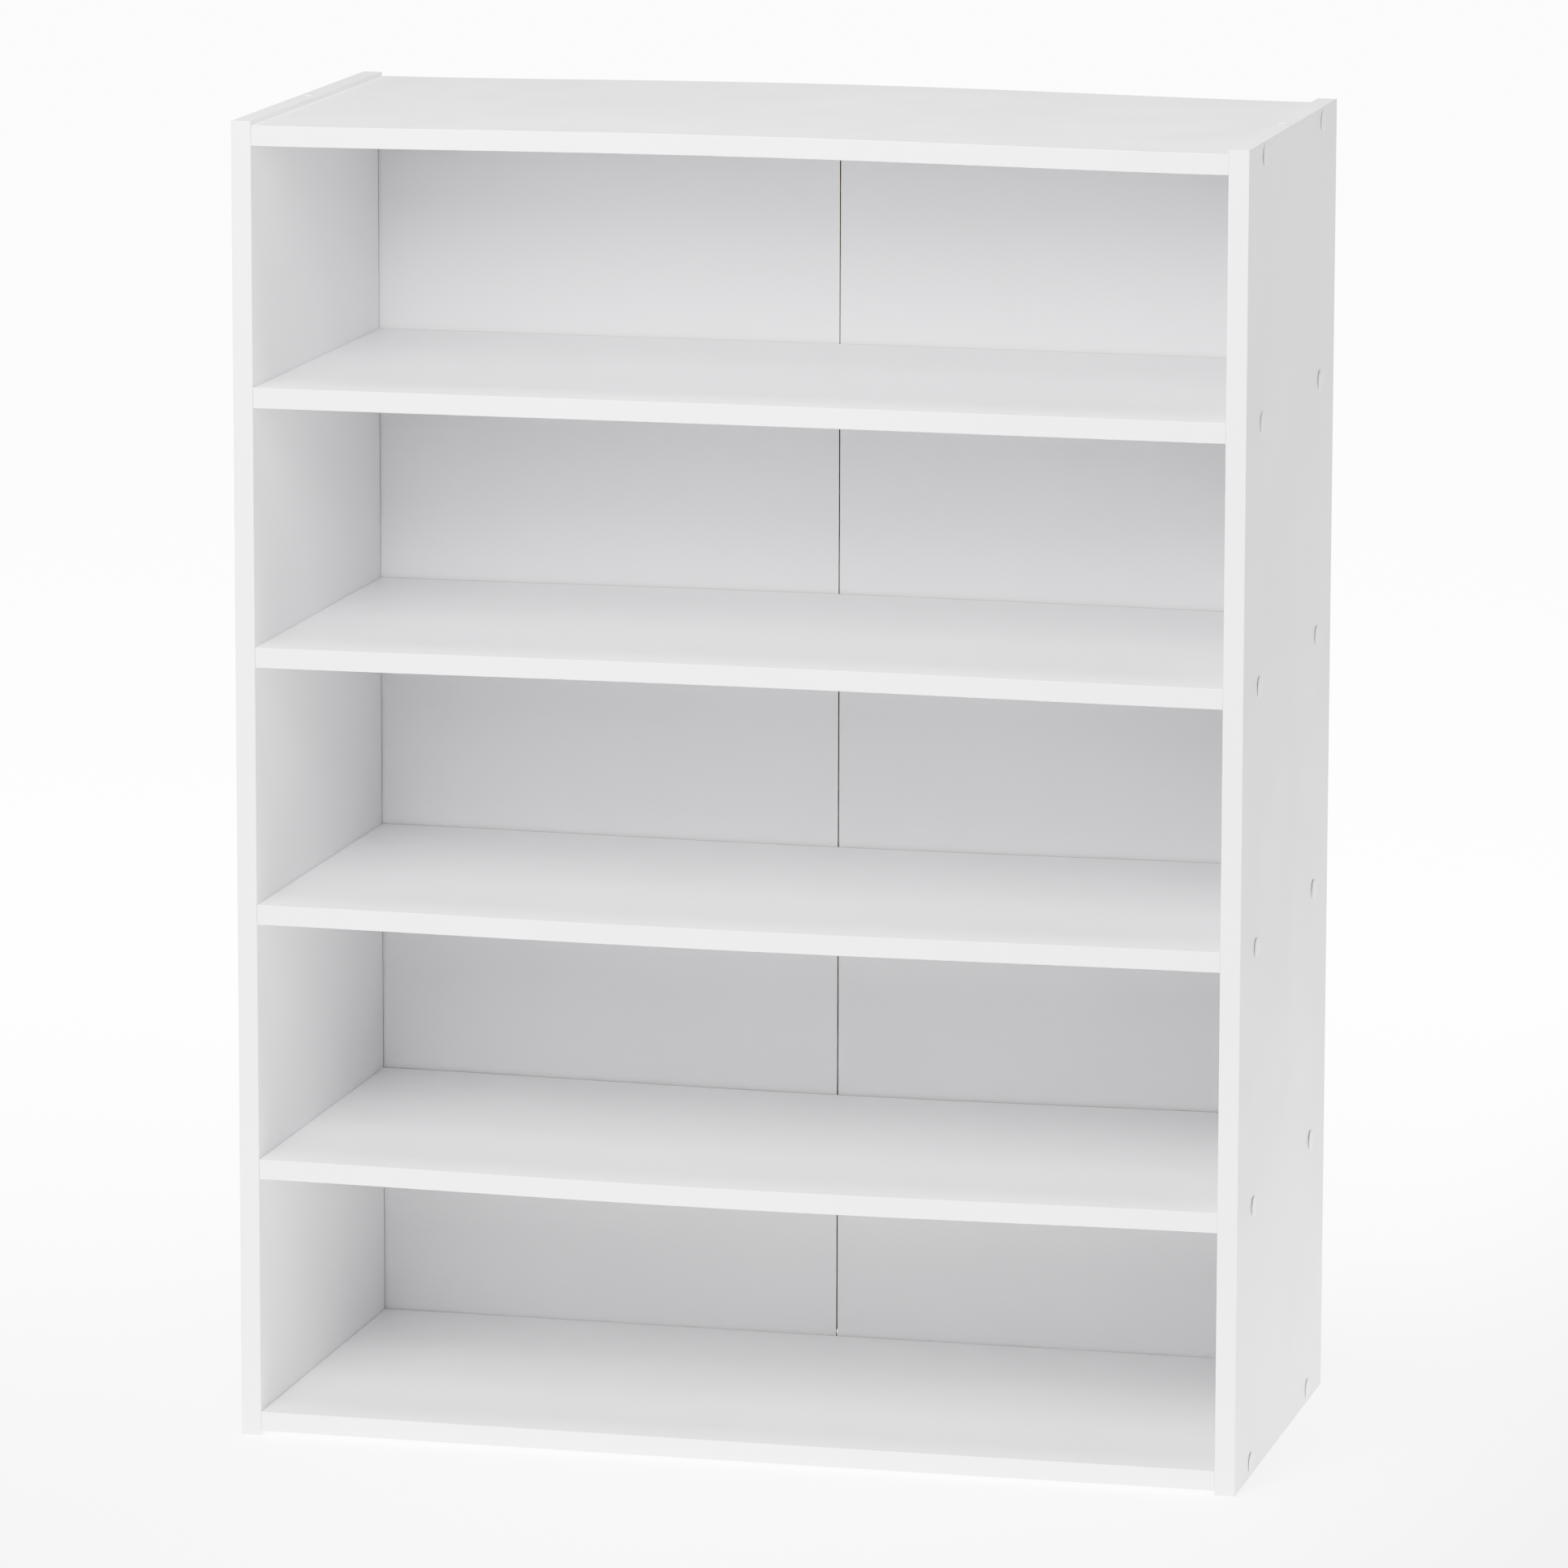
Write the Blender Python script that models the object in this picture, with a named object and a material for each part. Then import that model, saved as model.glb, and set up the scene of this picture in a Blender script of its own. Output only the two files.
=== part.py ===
"""An open bookcase of laminated boards, held together by connector screws.

Two side panels carry a top panel, four fixed shelves and a bottom panel.
Each end of each of those six boards takes two connector screws, which come
through the side panel and are covered by a round cap. A thin back panel in two
halves sits in grooves in the sides, the top and the bottom. A small plug fills
the hole in the top edge of each side panel.

X runs across the bookcase, +X to its right. The front faces -Y and +Z is up.
The origin is on the floor, under the middle of the bookcase.
"""

import math

import bmesh
import bpy
from mathutils import Euler, Vector

# ---------------------------------------------------------------- driving sizes, in metres
WIDTH = 0.758  # between the outer faces of the two side panels
DEPTH = 0.350  # of the side panels, front edge to rear edge
HEIGHT = 0.990  # of the side panels
BOARD = 0.015  # thickness of the sides, the top, the bottom and the shelves
SHELF_COUNT = 4
TOP_LIP = 0.003  # the side panels stand this far above the top panel
BASE_LIP = 0.0036  # and reach this far below the bottom panel

BACK_THICKNESS = 0.0025
BACK_SETBACK = 0.009  # from the rear edges forward to the back panel's rear face
BACK_SEAM = 0.001  # gap between the two halves of the back panel
GROOVE_DEPTH = 0.006
SHELF_BACK_GAP = 0.001  # between a shelf's rear edge and the back panel

SCREW_INSET = 0.060  # from the front edge, and from the rear edge, to a screw
SCREW_LENGTH = 0.050
SCREW_SINK = 0.0005  # the head lies this far below the side panel's face
SCREW_HEAD_DIAMETER = 0.009
SCREW_HEAD_HEIGHT = 0.0024  # the cone under the head's edge is part of it
SCREW_HEAD_EDGE = 0.0006  # straight part of the head, above the cone
SCREW_SHANK_DIAMETER = 0.0062
SCREW_THREAD_DIAMETER = 0.0052
SCREW_POINT_LENGTH = 0.003
SCREW_POINT_DIAMETER = 0.0024
PILOT_SPARE_DEPTH = 0.001  # the hole in a board's end goes this far past the screw's point
SOCKET_ACROSS_FLATS = 0.004
SOCKET_DEPTH = 0.0022

CAP_DIAMETER = 0.015
CAP_HEIGHT = 0.0014  # from the side panel's face to the crown
CAP_RIM_HEIGHT = 0.0011  # from the side panel's face to the top of the rim
CAP_CROWN_DIAMETER = 0.010  # flat middle of the crown
CAP_STUB_CLEARANCE = 0.0008  # between the stub's end and the floor of the screw's socket

PLUG_BORE_DIAMETER = 0.008
PLUG_BORE_DEPTH = 0.014
PLUG_PEG_CLEARANCE = 0.0033  # between the peg's end and the bore's floor
PLUG_HEAD_OVERHANG = 0.0005  # the head reaches this far past the bore all round
PLUG_HEAD_HEIGHT = 0.0009  # from the panel's top edge to the head's top
PLUG_CHAMFER = 0.0003

FIT_GAP = 0.0003  # clearance that every pair of touching pieces keeps
CUT_OVERRUN = 0.002  # how far a cutting tool passes the face it opens

ROUND_SEGMENTS = 12  # a multiple of six, so that the hex socket has its corners
HEX_SIDES = 6

# ---------------------------------------------------------------- what follows from them
LEVELS = ["top"] + [f"shelf_{i + 1}" for i in range(SHELF_COUNT)] + ["bottom"]
SIDES = {"left": -1, "right": 1}
ROWS = {"front": -1, "rear": 1}

SIDE_X = WIDTH / 2 - BOARD / 2
BOARD_LENGTH = WIDTH - 2 * BOARD - 2 * FIT_GAP
TOP_Z = HEIGHT - TOP_LIP - BOARD / 2
BOTTOM_Z = BASE_LIP + BOARD / 2
LEVEL_PITCH = (TOP_Z - BOTTOM_Z) / (SHELF_COUNT + 1)
LEVEL_Z = {level: TOP_Z - i * LEVEL_PITCH for i, level in enumerate(LEVELS)}

FRONT_Y = -DEPTH / 2
BACK_Y = DEPTH / 2 - BACK_SETBACK - BACK_THICKNESS / 2
GROOVE_WIDTH = BACK_THICKNESS + 2 * FIT_GAP
GROOVE_HALF_SPAN = WIDTH / 2 - BOARD + GROOVE_DEPTH
GROOVE_LOW_Z = BOTTOM_Z + BOARD / 2 - GROOVE_DEPTH
GROOVE_HIGH_Z = TOP_Z - BOARD / 2 + GROOVE_DEPTH
SHELF_DEPTH = DEPTH - BACK_SETBACK - BACK_THICKNESS - SHELF_BACK_GAP

ROW_Y = {row: sign * (DEPTH / 2 - SCREW_INSET) for row, sign in ROWS.items()}
FLATS_TO_RADIUS = 1 / (2 * math.cos(math.pi / HEX_SIDES))
UPRIGHT = Euler((0.0, -math.pi / 2, 0.0))  # turns +X to +Z


# ---------------------------------------------------------------- scene and materials
def clear_scene():
    for old in list(bpy.data.objects):
        bpy.data.objects.remove(old, do_unlink=True)


def principled(name, color, roughness, metallic=0.0):
    """A Principled BSDF material with one colour."""
    material = bpy.data.materials.new(name)
    material.use_nodes = True
    shader = material.node_tree.nodes["Principled BSDF"]
    shader.inputs["Base Color"].default_value = (*color, 1.0)
    shader.inputs["Roughness"].default_value = roughness
    shader.inputs["Metallic"].default_value = metallic
    material.diffuse_color = (*color, 1.0)
    return material


# ---------------------------------------------------------------- shapes
def add_box(bm, size, centre=(0, 0, 0)):
    """Adds a closed box with its middle at centre."""
    made = bmesh.ops.create_cube(bm, size=1.0)
    bmesh.ops.scale(bm, vec=size, verts=made["verts"])
    bmesh.ops.translate(bm, vec=centre, verts=made["verts"])


def ring_radius(angle, radius, is_hex):
    """The radius at an angle, on a circle or on a hexagon whose corners have that radius."""
    if not is_hex:
        return radius
    sector = 2 * math.pi / HEX_SIDES
    from_flat = angle % sector - sector / 2
    return radius * math.cos(sector / 2) / math.cos(from_flat)


def add_turned(bm, rings, centre=(0, 0, 0), direction=1):
    """Adds a closed solid of rings about the X axis.

    Each ring is (x, radius) for a circle or (x, radius, True) for a hexagon.
    The rings start on the axis at the inner end of the solid's surface and end
    on the axis at its outer end, which the two flat end faces close.
    direction -1 turns the solid round, so that its +X end points to -X.
    """
    loops = []
    for ring in rings:
        x, radius = ring[:2]
        is_hex = len(ring) > 2
        loop = []
        for i in range(ROUND_SEGMENTS):
            angle = 2 * math.pi * i / ROUND_SEGMENTS
            r = ring_radius(angle, radius, is_hex)
            around = Vector((x * direction, r * math.cos(angle), r * math.sin(angle)))
            loop.append(bm.verts.new(Vector(centre) + around))
        loops.append(loop)
    faces = [bm.faces.new(loops[0]), bm.faces.new(loops[-1])]
    for low, high in zip(loops, loops[1:]):
        for i in range(ROUND_SEGMENTS):
            j = (i + 1) % ROUND_SEGMENTS
            faces.append(bm.faces.new((low[i], low[j], high[j], high[i])))
    bmesh.ops.recalc_face_normals(bm, faces=faces)


def mesh_of(name, bm):
    mesh = bpy.data.meshes.new(name)
    bm.to_mesh(mesh)
    bm.free()
    return mesh


def place(name, mesh, location, material, turn_y=0.0, turn_z=0.0):
    """An object with this mesh, parented to the bookcase's empty."""
    piece = bpy.data.objects.new(name, mesh)
    bpy.context.scene.collection.objects.link(piece)
    piece.location = location
    piece.rotation_euler = (0.0, turn_y, turn_z)
    piece.parent = bookcase
    if material is not None and not mesh.materials:
        mesh.materials.append(material)
    return piece


def cut_from(piece, bm):
    """Cuts the closed shapes in bm, which are in the piece's own frame, out of the piece."""
    cutter = place(piece.name + "_cutter", mesh_of(piece.name + "_cutter", bm), (0, 0, 0), None)
    cutter.parent = piece
    cutter.hide_render = True
    cutter.display_type = "WIRE"
    modifier = piece.modifiers.new("cuts", "BOOLEAN")
    modifier.operation = "DIFFERENCE"
    modifier.solver = "EXACT"
    modifier.object = cutter


# ---------------------------------------------------------------- boards
def screw_hole_rings():
    """The stepped hole for one screw, from inside the side panel out past its outer face.

    x is 0 at the outer face. The cone matches the cone of the screw's head.
    """
    shank = SCREW_SHANK_DIAMETER / 2 + FIT_GAP
    head = SCREW_HEAD_DIAMETER / 2 + FIT_GAP
    cone_bottom = -SCREW_SINK - SCREW_HEAD_HEIGHT - FIT_GAP
    cone_top = -SCREW_SINK - SCREW_HEAD_EDGE - FIT_GAP
    return [(-BOARD - CUT_OVERRUN, shank), (cone_bottom, shank), (cone_top, head), (CUT_OVERRUN, head)]


def pilot_hole_rings():
    """The hole in a board's end for the screw's thread. It runs to -X from x = 0 at the end face."""
    radius = SCREW_THREAD_DIAMETER / 2 + FIT_GAP
    point = SCREW_POINT_DIAMETER / 2 + FIT_GAP
    bottom = BOARD + FIT_GAP - SCREW_SINK - SCREW_LENGTH - PILOT_SPARE_DEPTH
    return [(bottom, point), (bottom + SCREW_POINT_LENGTH, radius), (CUT_OVERRUN, radius)]


def make_side_panel(name, sign):
    """A side panel. In its own frame +X points outwards, so the left one is turned half round."""
    bm = bmesh.new()
    add_box(bm, (BOARD, DEPTH, HEIGHT))
    mesh = mesh_of(name, bm)
    panel = place(name, mesh, (sign * SIDE_X, 0, HEIGHT / 2), side_laminate, turn_z=turn_for(sign))

    cuts = bmesh.new()
    for level in LEVELS:
        for y in ROW_Y.values():
            centre = (BOARD / 2, y, LEVEL_Z[level] - HEIGHT / 2)
            add_turned(cuts, screw_hole_rings(), centre)
    groove_height = GROOVE_HIGH_Z - GROOVE_LOW_Z
    groove_size = (GROOVE_DEPTH + CUT_OVERRUN, GROOVE_WIDTH, groove_height)
    groove_x = -BOARD / 2 + (GROOVE_DEPTH - CUT_OVERRUN) / 2
    groove_z = (GROOVE_HIGH_Z + GROOVE_LOW_Z) / 2 - HEIGHT / 2
    add_box(cuts, groove_size, (groove_x, sign * BACK_Y, groove_z))
    cut_from(panel, cuts)

    bore = bmesh.new()
    radius = PLUG_BORE_DIAMETER / 2
    add_turned(bore, [(-PLUG_BORE_DEPTH, radius), (CUT_OVERRUN, radius)])
    bmesh.ops.rotate(bore, verts=bore.verts, matrix=UPRIGHT.to_matrix())
    bmesh.ops.translate(bore, verts=bore.verts, vec=(0, 0, HEIGHT / 2))
    cut_from(panel, bore)
    return panel


def make_board(level):
    """The top panel, a shelf or the bottom panel."""
    is_shelf = level.startswith("shelf")
    name = level if is_shelf else level + "_panel"
    depth = SHELF_DEPTH if is_shelf else DEPTH
    centre_y = FRONT_Y + depth / 2
    bm = bmesh.new()
    add_box(bm, (BOARD_LENGTH, depth, BOARD))
    board = place(name, mesh_of(name, bm), (0, centre_y, LEVEL_Z[level]), board_laminate)

    cuts = bmesh.new()
    for sign in SIDES.values():
        for y in ROW_Y.values():
            hole = (sign * BOARD_LENGTH / 2, y - centre_y, 0)
            add_turned(cuts, pilot_hole_rings(), hole, direction=sign)
    if not is_shelf:
        inner = -1 if level == "top" else 1  # the side of this board that faces the bays
        size = (BOARD_LENGTH + 2 * CUT_OVERRUN, GROOVE_WIDTH, GROOVE_DEPTH + CUT_OVERRUN)
        groove_z = inner * (BOARD / 2 - (GROOVE_DEPTH - CUT_OVERRUN) / 2)
        add_box(cuts, size, (0, BACK_Y - centre_y, groove_z))
    cut_from(board, cuts)
    return board


def make_back_panel(name, sign):
    """Half of the back panel, from its groove in the side panel to the seam in the middle."""
    low_z = GROOVE_LOW_Z + FIT_GAP
    high_z = GROOVE_HIGH_Z - FIT_GAP
    inner_x = BACK_SEAM / 2
    outer_x = GROOVE_HALF_SPAN - FIT_GAP
    bm = bmesh.new()
    add_box(bm, (outer_x - inner_x, BACK_THICKNESS, high_z - low_z))
    centre = (sign * (inner_x + outer_x) / 2, BACK_Y, (low_z + high_z) / 2)
    place(name, mesh_of(name, bm), centre, back_laminate)


# ---------------------------------------------------------------- screws, caps and plugs
def screw_mesh():
    """A connector screw along X. x is 0 at the side panel's outer face, and the thread points to -X.

    The shank narrows to the thread inside the side panel, and the thread starts at its inner face.
    """
    head = SCREW_HEAD_DIAMETER / 2
    shank = SCREW_SHANK_DIAMETER / 2
    thread = SCREW_THREAD_DIAMETER / 2
    corner = SOCKET_ACROSS_FLATS * FLATS_TO_RADIUS
    top = -SCREW_SINK
    thread_start = -BOARD
    tip = top - SCREW_LENGTH
    rings = [
        (tip, SCREW_POINT_DIAMETER / 2),
        (tip + SCREW_POINT_LENGTH, thread),
        (thread_start, thread),
        (thread_start + (shank - thread), shank),
        (top - SCREW_HEAD_HEIGHT, shank),
        (top - SCREW_HEAD_EDGE, head),
        (top, head),
        (top, corner, True),
        (top - SOCKET_DEPTH, corner, True),
    ]
    bm = bmesh.new()
    add_turned(bm, rings)
    return mesh_of("connector_screw", bm)


def cap_mesh():
    """A screw cap along X: a hex stub, a thin rim and a low crown. x is 0 at the side panel's face."""
    rim = CAP_DIAMETER / 2
    stub = (SOCKET_ACROSS_FLATS - 2 * FIT_GAP) * FLATS_TO_RADIUS
    rings = [
        (CAP_STUB_CLEARANCE - SCREW_SINK - SOCKET_DEPTH, stub, True),
        (FIT_GAP, stub, True),
        (FIT_GAP, rim),
        (CAP_RIM_HEIGHT, rim),
        (CAP_HEIGHT, CAP_CROWN_DIAMETER / 2),
    ]
    bm = bmesh.new()
    add_turned(bm, rings)
    return mesh_of("screw_cap", bm)


def plug_mesh():
    """A plug along X: a peg for the bore and a thin head. x is 0 at the panel's top edge."""
    peg = PLUG_BORE_DIAMETER / 2 - FIT_GAP
    head = PLUG_BORE_DIAMETER / 2 + PLUG_HEAD_OVERHANG
    peg_end = PLUG_PEG_CLEARANCE - PLUG_BORE_DEPTH
    rings = [
        (peg_end, peg - PLUG_CHAMFER),
        (peg_end + PLUG_CHAMFER, peg),
        (FIT_GAP, peg),
        (FIT_GAP, head),
        (PLUG_HEAD_HEIGHT - PLUG_CHAMFER, head),
        (PLUG_HEAD_HEIGHT, head - PLUG_CHAMFER),
    ]
    bm = bmesh.new()
    add_turned(bm, rings)
    return mesh_of("edge_plug", bm)


def shade_round(mesh):
    """Smooth shading that keeps the edges sharper than 35 degrees."""
    mesh.shade_smooth()
    mesh.set_sharp_from_angle(angle=math.radians(35))


def turn_for(sign):
    """The turn about Z that points a piece's +X outwards on this side."""
    return 0.0 if sign > 0 else math.pi


def make_fastenings():
    """A screw and its cap at the front and the rear of both ends of every board."""
    screw = screw_mesh()
    cap = cap_mesh()
    for mesh in (screw, cap):
        shade_round(mesh)
    for level in LEVELS:
        for side, sign in SIDES.items():
            for row, y in ROW_Y.items():
                spot = (sign * WIDTH / 2, y, LEVEL_Z[level])
                tag = f"{level}_{side}_{row}"
                place("screw_" + tag, screw, spot, zinc_steel, turn_z=turn_for(sign))
                place("cap_" + tag, cap, spot, cap_plastic, turn_z=turn_for(sign))


def make_edge_plugs():
    plug = plug_mesh()
    shade_round(plug)
    for side, sign in SIDES.items():
        place("edge_plug_" + side, plug, (sign * SIDE_X, 0, HEIGHT), plug_plastic, turn_y=UPRIGHT.y)


# ---------------------------------------------------------------- the bookcase
clear_scene()

side_laminate = principled("side_laminate", (0.84, 0.845, 0.86), 0.42)
board_laminate = principled("board_laminate", (0.84, 0.845, 0.86), 0.38)
back_laminate = principled("back_laminate", (0.80, 0.805, 0.82), 0.5)
cap_plastic = principled("cap_plastic", (0.86, 0.865, 0.875), 0.33)
plug_plastic = principled("plug_plastic", (0.84, 0.845, 0.86), 0.38)
zinc_steel = principled("zinc_steel", (0.62, 0.62, 0.64), 0.32, metallic=1.0)

bookcase = bpy.data.objects.new("bookcase", None)
bpy.context.scene.collection.objects.link(bookcase)

for side, sign in SIDES.items():
    make_side_panel("side_panel_" + side, sign)
    make_back_panel("back_panel_" + side, sign)
for level in LEVELS:
    make_board(level)
make_fastenings()
make_edge_plugs()
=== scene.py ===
"""The looks of an open bookcase of white foil-wrapped boards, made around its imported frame.

Every board, back sheet, screw, cap and plug of the frame is made again here as a fine surface: boards with
rounded arrises, bored and grooved as in the workshop and very slightly bowed, screws with a cut thread, and
moulded caps with a shadow gap under their rim. All places come from the frame's own pieces, in metres.
"""

import math

import bmesh
import bpy
import numpy as np
from mathutils import Matrix, Vector


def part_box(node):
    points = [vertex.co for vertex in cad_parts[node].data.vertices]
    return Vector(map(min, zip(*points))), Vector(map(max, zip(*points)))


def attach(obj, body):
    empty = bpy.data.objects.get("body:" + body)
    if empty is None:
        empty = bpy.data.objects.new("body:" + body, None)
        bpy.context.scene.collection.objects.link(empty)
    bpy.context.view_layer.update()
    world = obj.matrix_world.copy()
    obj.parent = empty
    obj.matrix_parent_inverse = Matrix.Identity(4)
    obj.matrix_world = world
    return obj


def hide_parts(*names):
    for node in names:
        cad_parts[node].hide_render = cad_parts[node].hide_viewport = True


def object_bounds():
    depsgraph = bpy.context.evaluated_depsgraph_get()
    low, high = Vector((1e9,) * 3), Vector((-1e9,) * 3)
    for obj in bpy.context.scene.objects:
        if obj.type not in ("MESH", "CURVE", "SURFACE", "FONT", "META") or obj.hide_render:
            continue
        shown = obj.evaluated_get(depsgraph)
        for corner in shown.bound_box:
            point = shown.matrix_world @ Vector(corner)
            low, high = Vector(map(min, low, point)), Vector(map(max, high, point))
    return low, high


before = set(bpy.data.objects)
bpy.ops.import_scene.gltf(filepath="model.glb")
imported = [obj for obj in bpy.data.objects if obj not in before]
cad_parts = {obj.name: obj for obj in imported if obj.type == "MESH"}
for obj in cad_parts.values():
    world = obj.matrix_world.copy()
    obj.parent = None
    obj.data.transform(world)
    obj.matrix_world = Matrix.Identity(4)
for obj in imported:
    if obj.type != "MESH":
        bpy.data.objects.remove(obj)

cad_low, cad_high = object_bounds()

# ---------------------------------------------------------------- sizes, in metres
ARRIS = 0.0005  # radius of the boards' long edges, where the foil is folded round
ARRIS_STEPS = 4
BOARD_STATIONS = 36  # cross-sections along a bowed board
SMOOTH_ANGLE = math.radians(35)  # a sharper edge than this stays sharp
FACE_WEIGHT = 100  # how strongly a large flat face pulls the normals at its arrises
JOINT_GAPS = {"left": 0.00025, "right": 0.00007}  # between a board's ends and the sides they are screwed to
FOIL_JOIN_WIDTH = 0.0005  # the foil's two ends meet along the rear edge
FOIL_JOIN_DEPTH = 0.0002
BOW = {  # how far the middle of a board's front edge and rear edge stands above its ends
    "top_panel": (0.0027, 0.0034),
    "shelf_1": (0.0005, 0.0005),
    "shelf_2": (0.0015, 0.0015),
    "shelf_3": (-0.0017, -0.0017),
    "shelf_4": (-0.0026, -0.0026),
    "bottom_panel": (-0.0004, -0.0004),
}

GROOVE_DEPTH = 0.006
GROOVE_CLEARANCE = 0.0003  # behind the back sheet and past its edges
GROOVE_FRONT_CLEARANCE = 0.0010  # in front of the back sheet, which leans on the groove's rear wall
CUT_OVERRUN = 0.002
BACK_ARRIS = 0.0002
PRINT_STOP = 0.0001  # the back sheet's print ends this far inside the sides' grooves, where a painted shade of dark brown begins
REAR_SHADE_WIDTH = 0.0024  # width of the painted shade line on a shelf's top face along its rear edge, where it meets the back sheet
TAPE_WIDTH = 0.042
TAPE_THICKNESS = 0.00022
TAPE_LIFT = 0.00002  # off the sheets' rear faces
TAPE_DIP = 0.00005  # into the seam
TAPE_TAPER = 0.0006  # the tape thins over this width at each edge
TAPE_EDGE_SHARE = 0.15  # of its thickness, at its very edge
TAPE_COLUMNS = 41
TAPE_ROWS = 12
TAPE_STOP = 0.004  # the tape ends this far short of the top and bottom boards

HOLE_CLEARANCE = 0.0003
HEAD_HEIGHT = 0.0024
HEAD_EDGE = 0.0006
SHANK_RADIUS = 0.0031
THREAD_ROOT_RADIUS = 0.0019
THREAD_RADIUS = 0.0026
THREAD_PITCH = 0.0022
THREAD_ROWS = 8  # rows of points in one pitch
THREAD_SHARPNESS = 1.5  # the power that the ridge's height is raised to
THREAD_START_SHARE = 0.3  # of the thread's height, at the point
THREAD_RUN_OUT = 0.001  # the thread ends over this length, below the shank
POINT_LENGTH = 0.003
POINT_RADIUS = 0.0012
PILOT_SPARE_DEPTH = 0.001
SOCKET_CORNER_RADIUS = 0.0023094
SOCKET_DEPTH = 0.0022
SOCKET_EDGE = 0.0002  # chamfer round the socket and the head
SCREW_SEGMENTS = 18

CAP_SEAT_GAPS = (0.00035, 0.00050)  # the least and the most that a cap stands off the side
CAP_RIM_THICKNESS = 0.0007
CAP_EDGE_RADIUS = 0.0003
CAP_CROWN_RISE = 0.0002  # how far the crown's middle stands above the rim
CAP_STUB_CORNER_RADIUS = 0.00196
CAP_SEGMENTS = 48
CAP_CROWN_RINGS = 8
CAP_CENTRE_SHARE = 0.03  # of the crown's radius, left as one small flat face
CAP_SEED = 7
EDGE_STEPS = 4  # steps round a moulded edge

PLUG_BORE_RADIUS = 0.004
PLUG_BORE_DEPTH = 0.014
PLUG_EDGE_RADIUS = 0.0003
PLUG_PEG_CHAMFER = 0.0004
PLUG_SEAT_GAP = 0.0003  # under the plug's head

# How directly a face looks along an axis, as the least part of its normal along it.
END_FACING = 0.99
REAR_FACING = 0.3
ARRIS_FACING = 0.3
PRINT_FACING = 0.5

# ---------------------------------------------------------------- finishes: colours, and relief in metres
WHITE_FOIL = (0.90, 0.90, 0.90)
WHITE_PRINT = (0.89, 0.89, 0.895)
WHITE_CAP = (0.91, 0.91, 0.91)
WHITE_PLUG = (0.90, 0.90, 0.90)
DUST = (0.33, 0.31, 0.28)
PRINT_DUST = (0.34, 0.32, 0.29)
# the grey-brown of the painted shade line along a shelf's rear edge
REAR_SHADE_GREY = (0.30, 0.29, 0.28)
GLUE = (0.66, 0.65, 0.63)
GLUE_DARK = (0.58, 0.57, 0.55)
GLUE_PALE = (0.76, 0.75, 0.74)
CHIP = (0.50, 0.36, 0.22)
CHIP_PALE = (0.58, 0.44, 0.28)
CHIP_DARK = (0.36, 0.24, 0.13)
CHIP_DUST = (0.66, 0.54, 0.38)
FIBRE = (0.42, 0.29, 0.18)
FIBRE_DARK = (0.385, 0.265, 0.165)
FIBRE_PALE = (0.44, 0.31, 0.195)
FIBRE_HAIR = (0.60, 0.47, 0.33)
FIBRE_KNOT = (0.20, 0.12, 0.07)
# painted shade: the dark brown of the back sheet's front face inside the side grooves
GROOVE_SHADE_BROWN = (0.20, 0.15, 0.11)
PAPER = (0.74, 0.73, 0.70)
PAPER_DARK = (0.68, 0.665, 0.63)
PAPER_PALE = (0.77, 0.76, 0.735)
PAPER_CREASE = (0.62, 0.60, 0.56)
ZINC = (0.62, 0.62, 0.64)
ZINC_BLUE = (0.54, 0.55, 0.60)
ZINC_YELLOW = (0.68, 0.67, 0.65)
RELIEF = {
    "foil_chips": 0.00005,
    "foil_peel": 0.000006,
    "foil_grain": 0.0000015,
    "glue": 0.00001,
    "chip_gaps": 0.00012,
    "chip_fines": 0.00005,
    "print_ripple": 0.0006,
    "print_fibres": 0.000012,
    "fibre_cloud": 0.00010,
    "fibre_hairs": 0.00005,
    "tape_crepe": 0.00006,
    "moulding_flow": 0.00003,
    "moulding_grain": 0.000002,
    "turning_marks": 0.000006,
}
NOISE_RANGE = (0.3, 0.7)  # nearly all of a noise lies between these
ARRIS_RANGE = (0.90, 0.995)  # of a normal's largest part: below it is an arris, above it a flat face

# ---------------------------------------------------------------- camera, floor and light
CAMERA_SENSOR = 36.0
CAMERA_LENS = 216.19
CAMERA_ANGLES = (13.556, -10.444, -0.124)  # turned left, tipped up and rolled, in degrees
CAMERA_PLACE = (1.6242, -6.7514, 1.7624)
FLOOR_SIZE = 60.0
FLOOR_WHITE = (0.9, 0.9, 0.9)
FLOOR_ROUGHNESS = 0.9
FLOOR_GLOWS = (0.25, 2.6)  # in front and behind
FLOOR_GLOW_DEPTHS = (-1.6, 1.9)
FLOOR_FADE = 0.38  # share of the glow that is left far out on the right
FLOOR_FADE_REACH = (0.3, 0.9)
WORLD_GLOW = 0.07
COOL = (0.956, 0.955, 1.0)
NEUTRAL = (1.0, 1.0, 1.0)
SOFT_LIGHTS = {  # azimuth and elevation in degrees, distance and size in metres, power in watts, colour
    "near_front": (0, 38, 2.0, 0.9, 20.0, COOL),
    "near_left": (-30, 35, 1.5, 0.8, 3.8, COOL),
    "near_right": (90, 35, 1.5, 0.8, 2.8, NEUTRAL),
    "front": (0, 25, 4.0, 1.6, 41.0, COOL),
    "front_left": (-15, 25, 4.0, 1.6, 33.0, COOL),
    "overhead": (0, 88, 3.0, 1.6, 70.0, NEUTRAL),
}

LEVELS = ["top", "shelf_1", "shelf_2", "shelf_3", "shelf_4", "bottom"]
BOARD_OF = {level: level if level.startswith("shelf") else level + "_panel" for level in LEVELS}
SIDES = {"left": -1, "right": 1}
ROWS = ("front", "rear")
X, Y, Z = 0, 1, 2


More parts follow.
